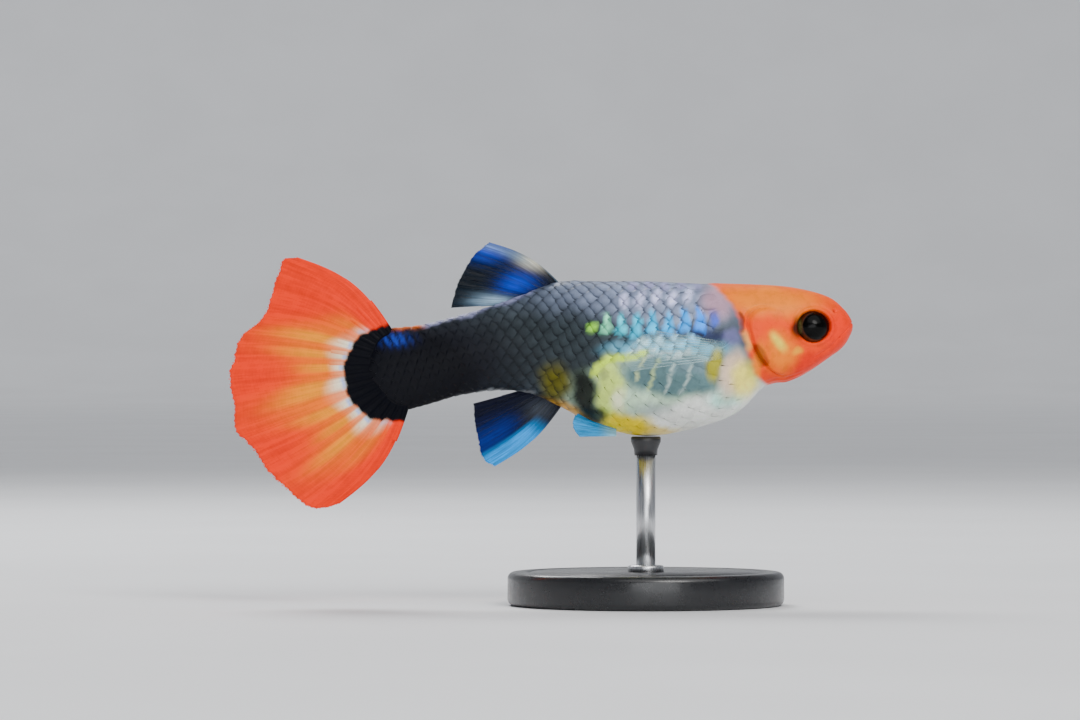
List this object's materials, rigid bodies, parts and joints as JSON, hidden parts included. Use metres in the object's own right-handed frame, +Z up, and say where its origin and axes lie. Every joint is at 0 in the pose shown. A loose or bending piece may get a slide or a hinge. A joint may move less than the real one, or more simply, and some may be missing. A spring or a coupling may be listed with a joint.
{
  "type": "fancy guppy fish model",
  "caption": "Life-size still model of a round-bellied fancy guppy with an orange head, slate scaled flanks and a red fan tail, held on a small round stand.",
  "frame": {"origin": "centre of the model's bounding box, on the surface that the stand rests on", "axes": "+X from the tail to the snout, +Y to the fish's left side, +Z up"},
  "size_m": [0.0522, 0.023, 0.0302],
  "materials": {
    "head_skin": "glossy wet skin, orange, redder at the lips and amber on the crown",
    "body_skin": "glossy scaled skin, slate with pale blue and cream patches and a dark tail root",
    "eye": "high gloss, black pupil in an amber and dark iris",
    "tail_fin": "thin rayed membrane, red-orange with pale yellow rays at the root",
    "blue_fin": "thin rayed membrane, dark and clear with bright blue bands",
    "clear_fin": "thin rayed membrane, almost clear",
    "stand_base": "satin black moulded disc with a soft edge",
    "stand_rod": "fine brushed steel rod"
  },
  "bodies": {
    "root": {"head": "head_skin", "gill_cover_right": "head_skin", "gill_cover_left": "head_skin", "trunk": "body_skin", "tail_stalk": "body_skin", "eye_right": "eye", "eye_left": "eye", "caudal_fin": "tail_fin", "dorsal_fin": "blue_fin", "anal_fin": "blue_fin", "pelvic_fin_right": "blue_fin", "pelvic_fin_left": "blue_fin", "pectoral_fin_right": "clear_fin", "pectoral_fin_left": "clear_fin", "stand_base": "stand_base", "stand_rod": "stand_rod"}
  },
  "joints": []
}
